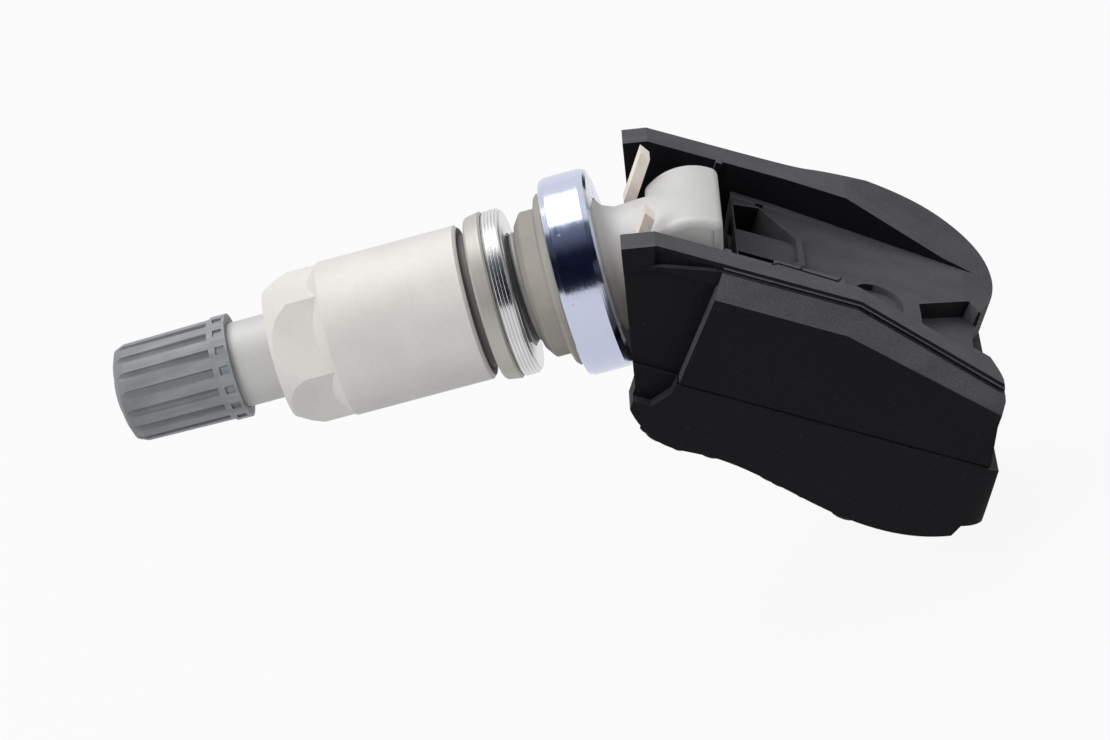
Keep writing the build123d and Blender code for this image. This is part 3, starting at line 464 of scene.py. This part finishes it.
def dress(node, material):
    """Gives a carried-over solid its finish."""
    mesh = nodes[node].data
    mesh.materials.clear()
    mesh.materials.append(material)


def placed(name, data):
    """Object with this data, in the scene."""
    thing = bpy.data.objects.new(name, data)
    bpy.context.scene.collection.objects.link(thing)
    return thing


def soften(node, width):
    """Rounds a solid's moulded edges without touching its mesh."""
    weld = nodes[node].modifiers.new("Join faces", "WELD")
    weld.merge_threshold = 0.001 * MM
    bevel = nodes[node].modifiers.new("Moulded edges", "BEVEL")
    bevel.width = width
    bevel.segments = 2
    bevel.limit_method = "ANGLE"
    bevel.angle_limit = math.radians(28)
    bevel.use_clamp_overlap = True
    bevel.harden_normals = True


def new_piece(name, work, body, material, replaced=()):
    """Object from a bmesh, riding a body if one is named and taking its finish from a slot."""
    mesh = bpy.data.meshes.new(name)
    work.to_mesh(mesh)
    work.free()
    mesh.shade_smooth()
    mesh.set_sharp_from_angle(angle=math.radians(32))
    mesh.materials.append(material)
    piece = placed(name, mesh)
    if body:
        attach(piece, body)
    if replaced:
        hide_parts(*replaced)
    return piece


def copy_without(node, drop):
    """The solid's mesh with its faces joined, less the faces that drop(face) picks."""
    work = bmesh.new()
    work.from_mesh(nodes[node].data)
    bmesh.ops.remove_doubles(work, verts=work.verts, dist=0.0005 * MM)
    work.normal_update()
    picked = [face for face in work.faces if drop(face)]
    bmesh.ops.delete(work, geom=picked, context="FACES")
    return work


def drop_on(node, x, y, side):
    """Point of a solid's surface at x and y, seen from above (side 1) or from below (side -1)."""
    clear = 60 * MM
    start = Vector((x, y, side * clear))
    local = nodes[node].matrix_world.inverted()
    hit, place, _, _ = nodes[node].ray_cast(local @ start, local.to_3x3() @ Vector((0, 0, -side)))
    return nodes[node].matrix_world @ place if hit else None


def rod(work, start, end, radius):
    """Thin rod with round ends between two points."""
    along = end - start
    turn = along.to_track_quat("Z", "Y").to_matrix().to_4x4()
    bmesh.ops.create_cone(work, segments=12, radius1=radius, radius2=radius, depth=along.length, cap_ends=True,
                          matrix=Matrix.Translation((start + end) / 2) @ turn)
    for tip in (start, end):
        bmesh.ops.create_icosphere(work, subdivisions=2, radius=radius, matrix=Matrix.Translation(tip))


def thread_band(work, x0, x1, crest, pitch, depth, thread_end):
    """Bar round X from x0 to x1, threaded up to thread_end, with a run-out at each end of the thread."""
    around, per_turn = 72, 8
    reach, flank = 1.3, 3.4  # a groove ends reach / flank of a pitch from its middle, its floor (reach - 1) / flank
    count = max(2, int((x1 - x0) / pitch * per_turn))
    rings = []
    for i in range(count + 1):
        x = x0 + (x1 - x0) * i / count
        fade = min(1.0, max(0.0, (x - x0) / pitch), max(0.0, (thread_end - x) / pitch))
        ring = []
        for k in range(around):
            phase = ((x - x0) / pitch - k / around) % 1.0
            groove = min(1.0, max(0.0, reach - flank * abs(phase - 0.5)))
            angle = 2 * math.pi * k / around
            radius = crest - depth * fade * groove
            ring.append(work.verts.new((x, radius * math.cos(angle), radius * math.sin(angle))))
        rings.append(ring)
    for low, high in zip(rings, rings[1:]):
        for k in range(around):
            n = (k + 1) % around
            work.faces.new((low[k], low[n], high[n], high[k]))


# Operators

class SENSOR_OT_valve(bpy.types.Operator):
    """Valve stem with its two threads, and the finish of its metal"""

    bl_idname = "sensor.valve"
    bl_label = "Valve stem"

    def execute(self, context):
        sizes = context.scene.sensor_sizes
        clamp_thread, mouth_thread = 5.1 * MM, 3.85 * MM  # radii over the crests
        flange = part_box("support_ring")[1].x - 1.6 * MM
        cap_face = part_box("dust_cap")[1].x
        bars = {radius: self.span(radius, flange) for radius in (clamp_thread, mouth_thread)}
        near, loose, upright = 0.01 * MM, 0.03 * MM, 0.2

        def on_bar(face):
            x = face.calc_center_median().x
            return abs(face.normal.x) <= upright and any(
                start - near < x < end + near
                and all(abs(math.hypot(v.co.y, v.co.z) - radius) < loose for v in face.verts)
                for radius, (start, end) in bars.items())

        stem = copy_without("valve_stem", on_bar)
        start, end = bars[clamp_thread]
        thread_end = 1.2 * MM
        # The clamp thread's roots, up to thread_end, are darkened as painted shade.
        metal = satin_metal("Valve metal", context.scene.sensor_colours.valve, roughness=0.58, metallic=0.2,
                            groove=(start, thread_end, clamp_thread - sizes.clamp_depth, clamp_thread))
        thread_band(stem, start, end, clamp_thread, sizes.clamp_pitch, sizes.clamp_depth, thread_end)
        start, end = bars[mouth_thread]
        thread_band(stem, start, end, mouth_thread, sizes.mouth_pitch, sizes.mouth_depth, cap_face - 0.2 * MM)
        self.level_foot(stem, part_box("support_ring")[1].x + 2 * MM)
        new_piece("threaded_stem", stem, "valve", metal, ["valve_stem"])
        return {"FINISHED"}

    def span(self, radius, flange):
        """Where the stem's bar of this radius starts and ends along X, before the flange."""
        xs = [v.co.x for v in nodes["valve_stem"].data.vertices
              if abs(math.hypot(v.co.y, v.co.z) - radius) < 0.002 * MM and v.co.x < flange + 0.01 * MM]
        return min(xs), max(xs)

    def level_foot(self, stem, neck_end):
        """Presses the neck's end, which stands a hair above the foot's round, level with it."""
        foot_top = 5.05 * MM
        step = [face for face in stem.faces
                if face.normal.x > 0.9 and min(v.co.z for v in face.verts) > foot_top - 0.01 * MM]
        bmesh.ops.delete(stem, geom=step, context="FACES")
        for v in stem.verts:
            if v.co.x > neck_end:
                v.co.z = min(v.co.z, foot_top)


class SENSOR_OT_clamp(bpy.types.Operator):
    """Collar nut, captive collar, washer, grommet and support ring"""

    bl_idname = "sensor.clamp"
    bl_label = "Nut, washer, grommet and ring"

    def execute(self, context):
        colours = context.scene.sensor_colours
        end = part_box("collar_nut")[1].x
        hub = [v.co for v in nodes["collar_nut"].data.vertices if v.co.x > end - 2.6 * MM]
        rim = max(math.hypot(place.y, place.z) for place in hub)
        # Painted shade: the groove at the end of the nut's sleeve is darkened at its bottom.
        neck = (end - 2.4 * MM, end + 0.2 * MM, rim - 0.5 * MM, rim - 0.05 * MM)
        dress("collar_nut", satin_metal("Nut metal", colours.nut, roughness=0.6, metallic=0.12, groove=neck))
        dress("nut_collar", turned_metal("Collar metal", colours.collar, 0.5, line_scale=5200, metallic=0.5))
        dress("clamping_washer", turned_metal("Washer steel", colours.washer, 0.22, line_scale=4600,
                                              line_depth=0.05 * MM, pitch=0.3 * MM))
        dress("grommet", soft_rubber("Grommet rubber", colours.rubber))
        dress("support_ring", plated_ring("Ring plating", colours.ring))
        return {"FINISHED"}


class SENSOR_OT_cap(bpy.types.Operator):
    """Dust cap and the seal inside it"""

    bl_idname = "sensor.cap"
    bl_label = "Dust cap"

    def execute(self, context):
        colours = context.scene.sensor_colours
        dress("dust_cap", cap_plastic("Cap plastic", colours.cap))
        dress("cap_seal", soft_rubber("Seal rubber", colours.seal, bloom=0.2))
        return {"FINISHED"}


class SENSOR_OT_core(bpy.types.Operator):
    """Valve core: brass body and pin, rubber ring and cup, steel spring"""

    bl_idname = "sensor.core"
    bl_label = "Valve core"

    def execute(self, context):
        colours = context.scene.sensor_colours
        brass = turned_metal("Core brass", colours.brass, 0.3, line_scale=9000)
        rubber = soft_rubber("Core rubber", colours.seal, bloom=0.2)
        dress("core_body", brass)
        dress("core_pin", brass)
        dress("core_ring", rubber)
        dress("core_cup", rubber)
        wire = plain_case("Spring steel", colours.spring, 0.3, metallic=1.0)
        coil = new_piece("coiled_spring", copy_without("core_spring", lambda face: False), None, wire,
                         ["core_spring"])
        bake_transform(coil)
        return {"FINISHED"}


class SENSOR_OT_housing(bpy.types.Operator):
    """Saddle housing, its base, the resin under it and the retaining fork"""

    bl_idname = "sensor.housing"
    bl_label = "Housing"

    def execute(self, context):
        sizes = context.scene.sensor_sizes
        colours = context.scene.sensor_colours
        dress("housing_body", moulded("Housing plastic", colours.housing, colours.dust, dust=1.0))
        dress("housing_base", moulded("Base plastic", colours.base, colours.dust, dust=0.35))
        dress("potting", cast_resin("Potting resin", colours.resin))
        dress("retaining_fork", sheet_steel("Fork steel", colours.fork))
        soften("housing_body", sizes.edge_round)
        soften("housing_base", sizes.edge_round)
        self.latch_slit_shadows()
        self.resin_runs()
        return {"FINISHED"}

    def latch_slit_shadows(self):
        """Thin dark rods laid round the spring tongue that latches the upper moulding, at the near lobe's inner edge:
        painted shadow of the slits.
        """
        tongue = [(20.9, -8.75), (21.7, -9.6), (26.2, -9.95), (26.5, -9.1)]
        corner = [(21.7, -9.6), (21.2, -10.1)]
        notch = [(23.2, -9.72), (23.5, -9.2)]
        work = bmesh.new()
        for line in (tongue, corner, notch):
            points = [drop_on("housing_body", x * MM, y * MM, 1) for x, y in line]
            for start, end in zip(points, points[1:]):
                rod(work, start, end, radius=0.09 * MM)
        black = (0, 0, 0)
        # Near-black material for the rods: painted shadow in the slits.
        dark = moulded("Slit shadow", shade(bpy.context.scene.sensor_colours.base, 0.3), black, dust=0.0)
        new_piece("latch_slit_shadows", work, "housing", dark)

    def resin_runs(self):
        """Beads of potting resin that ran over the base's lower edge."""
        work = bmesh.new()
        chance = random.Random(4)
        beads, first_x, spacing = 24, 7.0, 0.68
        lean = Matrix.Rotation(math.radians(38), 4, "Y")
        for i in range(beads):
            x = first_x + spacing * i + chance.uniform(-0.25, 0.25)
            spot = drop_on("housing_base", x * MM, chance.uniform(-12.6, -11.4) * MM, -1)
            if spot:
                wide = chance.uniform(0.6, 1.3) * MM
                size = Matrix.Diagonal((wide, wide * 0.8, chance.uniform(0.2, 0.42) * MM, 1))
                bmesh.ops.create_icosphere(work, subdivisions=3, radius=1.0,
                                           matrix=Matrix.Translation(spot) @ lean @ size)
        resin = cast_resin("Resin runs", bpy.context.scene.sensor_colours.resin)
        new_piece("resin_runs", work, "housing", resin)


class SENSOR_OT_electronics(bpy.types.Operator):
    """Board, cell and small parts sealed inside the housing"""

    bl_idname = "sensor.electronics"
    bl_label = "Electronics"

    def execute(self, context):
        colours = context.scene.sensor_colours
        tin = plain_case("Tinned steel", srgb(196, 198, 200), 0.28, metallic=1.0)
        black = plain_case("Chip case", srgb(34, 34, 36), 0.45)
        dress("circuit_board", lacquered_board("Board lacquer", colours.board, colours.copper))
        dress("battery_cell", turned_metal("Cell steel", srgb(205, 206, 208), 0.26, line_scale=2500))
        dress("battery_tab_plus", tin)
        dress("battery_tab_minus", tin)
        dress("sensor_chip", black)
        dress("board_parts", plain_case("Ceramic", srgb(150, 120, 92), 0.4))
        dress("port_seal", soft_rubber("Port rubber", colours.seal, bloom=0.1))
        dress("coil_core", plain_case("Ferrite", srgb(52, 50, 50), 0.5))
        dress("coil_winding", wound_wire("Copper winding", colours.copper))
        dress("crystal", plain_case("Crystal can", srgb(190, 190, 188), 0.25, metallic=1.0))
        dress("radio_aerial", plain_case("Aerial wire", srgb(200, 190, 170), 0.3, metallic=1.0))
        return {"FINISHED"}


class SENSOR_OT_stage(bpy.types.Operator):
    """Floor, lamps, white surroundings and camera"""

    bl_idname = "sensor.stage"
    bl_label = "Studio"
    white = (0.985, 0.985, 0.995)

    def execute(self, context):
        sizes = context.scene.sensor_sizes
        scene = context.scene
        scene.view_settings.view_transform = "Standard"
        self.floor(sizes)
        self.surroundings(scene, sizes)
        self.dark_card()
        self.lamp("Overhead softbox", Vector((-0.06, 0.16, 0.54)), 0.4, sizes.key_power)
        fill = self.lamp("Front fill", Vector((-0.26, -0.42, 0.42)), 0.3, sizes.fill_power)
        fill.visible_glossy = False
        self.camera(scene)
        return {"FINISHED"}

    def floor(self, sizes):
        """White paper that keeps the part's soft shadow."""
        level = cad_box[0][2] - sizes.floor_drop
        half = 3.0
        corners = [(-half, -half, level), (half, -half, level), (half, half, level), (-half, half, level)]
        mesh = bpy.data.meshes.new("floor")
        mesh.from_pydata(corners, [], [(0, 1, 2, 3)])
        floor = placed("floor", mesh)
        f = Finish("Floor paper")
        paper = f.add("ShaderNodeBsdfPrincipled", {},
                      {"Base Color": f.mix(f.noise(6, 2) * 0.3, (0.62, 0.62, 0.63), (0.58, 0.58, 0.59)),
                       "Roughness": 0.9, "Specular IOR Level": 0.1})
        glow = f.add("ShaderNodeEmission", {}, {"Color": solid(self.white), "Strength": 1.0})
        whiteness = 0.93  # the rest is the paper's own light and shadow
        shown = f.add("ShaderNodeMixShader", {}, {0: f.seen() * whiteness, 1: paper, 2: glow})
        f.add("ShaderNodeOutputMaterial", {}, {"Surface": shown})
        mesh.materials.append(f.material)

    def surroundings(self, scene, sizes):
        """Soft light from all round, white to the camera and in reflections."""
        scene.world = bpy.data.worlds.new("Studio surroundings")
        sky = Nodes(scene.world)
        room = sky.add("ShaderNodeBackground", {}, {"Color": solid((0.97, 0.98, 1.0)), "Strength": sizes.room_light})
        white = sky.add("ShaderNodeBackground", {}, {"Color": solid(self.white), "Strength": 1.0})
        shown = sky.add("ShaderNodeMixShader", {}, {0: sky.seen(), 1: room, 2: white})
        sky.add("ShaderNodeOutputWorld", {}, {"Surface": shown})

    def dark_card(self):
        """Curved dark card before the part, which only its bright metal mirrors."""
        reach, wide, rows = 0.62, 0.9, 24
        low, high = math.radians(5), math.radians(86)
        points = []
        for i in range(rows + 1):
            rise = low + (high - low) * i / rows
            for x in (-wide, wide):
                points.append((x, -reach * math.cos(rise), reach * math.sin(rise)))
        mesh = bpy.data.meshes.new("dark_card")
        mesh.from_pydata(points, [], [(2 * i, 2 * i + 1, 2 * i + 3, 2 * i + 2) for i in range(rows)])
        card = placed("dark_card", mesh)
        card.visible_camera = card.visible_diffuse = card.visible_shadow = False
        f = Finish("Dark card")
        dark = f.mix(f.noise(9, 2), srgb(14, 18, 36), srgb(28, 34, 58))
        upper = f.step(f.z, reach * 0.72, reach * 0.98) * (0.4 + 0.6 * f.noise(60, 3, (1, 0.1, 1)))
        f.surface(f.mix(upper, dark, srgb(150, 160, 186)), 0.9, specular=0.0)
        mesh.materials.append(f.material)

    def lamp(self, name, away, size, power):
        """Square lamp that stands this far away from the part's middle and shines at it."""
        middle = (Vector(cad_box[0]) + Vector(cad_box[1])) / 2
        data = bpy.data.lights.new(name, "AREA")
        data.shape = "SQUARE"
        data.size = size
        data.energy = power
        lamp = placed(name, data)
        lamp.location = middle + away
        lamp.rotation_euler = (-away).to_track_quat("-Z", "Y").to_euler()
        return lamp

    def camera(self, scene):
        """Camera where the photograph was taken from, a little above the part's near side."""
        data = bpy.data.cameras.new("Camera")
        data.sensor_width = 36.0
        data.lens = 178.38
        data.clip_start = 0.01
        place = Vector((0.0508, -0.444, 0.197))
        right = Vector((0.96104, -0.0159, -0.27597)).normalized()
        into = Vector((-0.105, 0.9025, -0.41768)).normalized()
        right = (right - into * right.dot(into)).normalized()
        up = right.cross(into)
        camera = placed("Camera", data)
        camera.matrix_world = Matrix.Translation(place) @ Matrix((right, up, -into)).transposed().to_4x4()
        scene.camera = camera


class SENSOR_PT_panel(bpy.types.Panel):
    """Lists the pieces and what can be changed on them"""

    bl_idname = "SENSOR_PT_panel"
    bl_label = "Tyre Pressure Sensor"
    bl_space_type = "VIEW_3D"
    bl_region_type = "UI"
    bl_category = "Sensor"

    def draw(self, context):
        for operator in OPERATORS:
            self.layout.operator(operator.bl_idname)
        for group in (context.scene.sensor_sizes, context.scene.sensor_colours):
            box = self.layout.box()
            for name in group.__annotations__:
                box.prop(group, name)


OPERATORS = (SENSOR_OT_valve, SENSOR_OT_clamp, SENSOR_OT_cap, SENSOR_OT_core, SENSOR_OT_housing,
             SENSOR_OT_electronics, SENSOR_OT_stage)
CLASSES = (SensorSizes, SensorColours, *OPERATORS, SENSOR_PT_panel)


def register():
    for cls in CLASSES:
        bpy.utils.register_class(cls)
    bpy.types.Scene.sensor_sizes = bpy.props.PointerProperty(type=SensorSizes)
    bpy.types.Scene.sensor_colours = bpy.props.PointerProperty(type=SensorColours)


def unregister():
    del bpy.types.Scene.sensor_colours
    del bpy.types.Scene.sensor_sizes
    for cls in reversed(CLASSES):
        bpy.utils.unregister_class(cls)


def main():
    register()
    bpy.ops.sensor.valve()
    bpy.ops.sensor.clamp()
    bpy.ops.sensor.cap()
    bpy.ops.sensor.core()
    bpy.ops.sensor.housing()
    bpy.ops.sensor.electronics()
    bpy.ops.sensor.stage()


if __name__ == "__main__":
    main()
